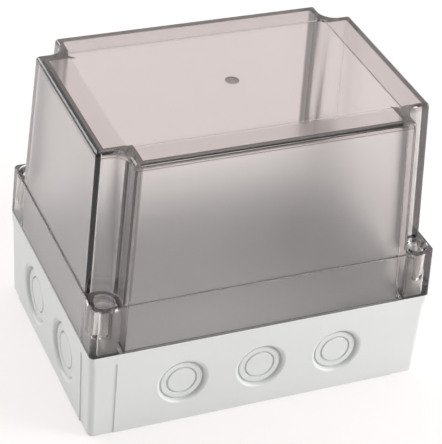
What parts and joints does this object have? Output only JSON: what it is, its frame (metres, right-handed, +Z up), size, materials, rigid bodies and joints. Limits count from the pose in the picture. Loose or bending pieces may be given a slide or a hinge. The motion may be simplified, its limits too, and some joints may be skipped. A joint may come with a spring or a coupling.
{
  "type": "polycarbonate enclosure",
  "caption": "Wall enclosure with a light grey knockout base and a deep smoked transparent cover with notched screw corners.",
  "frame": {"origin": "centre of the underside of the base, on the surface that it lies on", "axes": "+X along the long side, +Y along the short side away from the front wall, +Z up through the cover"},
  "size_m": [0.18, 0.13, 0.152],
  "materials": {
    "base_grey": "satin moulded",
    "smoked_cover": "polished transparent",
    "gasket": "foamed",
    "screw": "moulded polyamide",
    "ring": "matt",
    "insert": "turned"
  },
  "bodies": {
    "base": {"base_shell": "base_grey", "cover_gasket": "gasket", "threaded_insert_1": "insert", "threaded_insert_2": "insert", "threaded_insert_3": "insert", "threaded_insert_4": "insert"},
    "cover": {"smoked_cover": "smoked_cover"},
    "screw_1": {"cover_screw_1": "screw", "retaining_ring_1": "ring"},
    "screw_2": {"cover_screw_2": "screw", "retaining_ring_2": "ring"},
    "screw_3": {"cover_screw_3": "screw", "retaining_ring_3": "ring"},
    "screw_4": {"cover_screw_4": "screw", "retaining_ring_4": "ring"}
  },
  "joints": [
    {"name": "cover_lift", "type": "slide", "parent": "base", "child": "cover", "axis": [0, 0, 1], "range_m": [0, 0.12]},
    {"name": "screw_1_backout", "type": "slide", "parent": "cover", "child": "screw_1", "axis": [0, 0, 1], "range_m": [0, 0.007]},
    {"name": "screw_2_backout", "type": "slide", "parent": "cover", "child": "screw_2", "axis": [0, 0, 1], "range_m": [0, 0.007]},
    {"name": "screw_3_backout", "type": "slide", "parent": "cover", "child": "screw_3", "axis": [0, 0, 1], "range_m": [0, 0.007]},
    {"name": "screw_4_backout", "type": "slide", "parent": "cover", "child": "screw_4", "axis": [0, 0, 1], "range_m": [0, 0.007]}
  ]
}
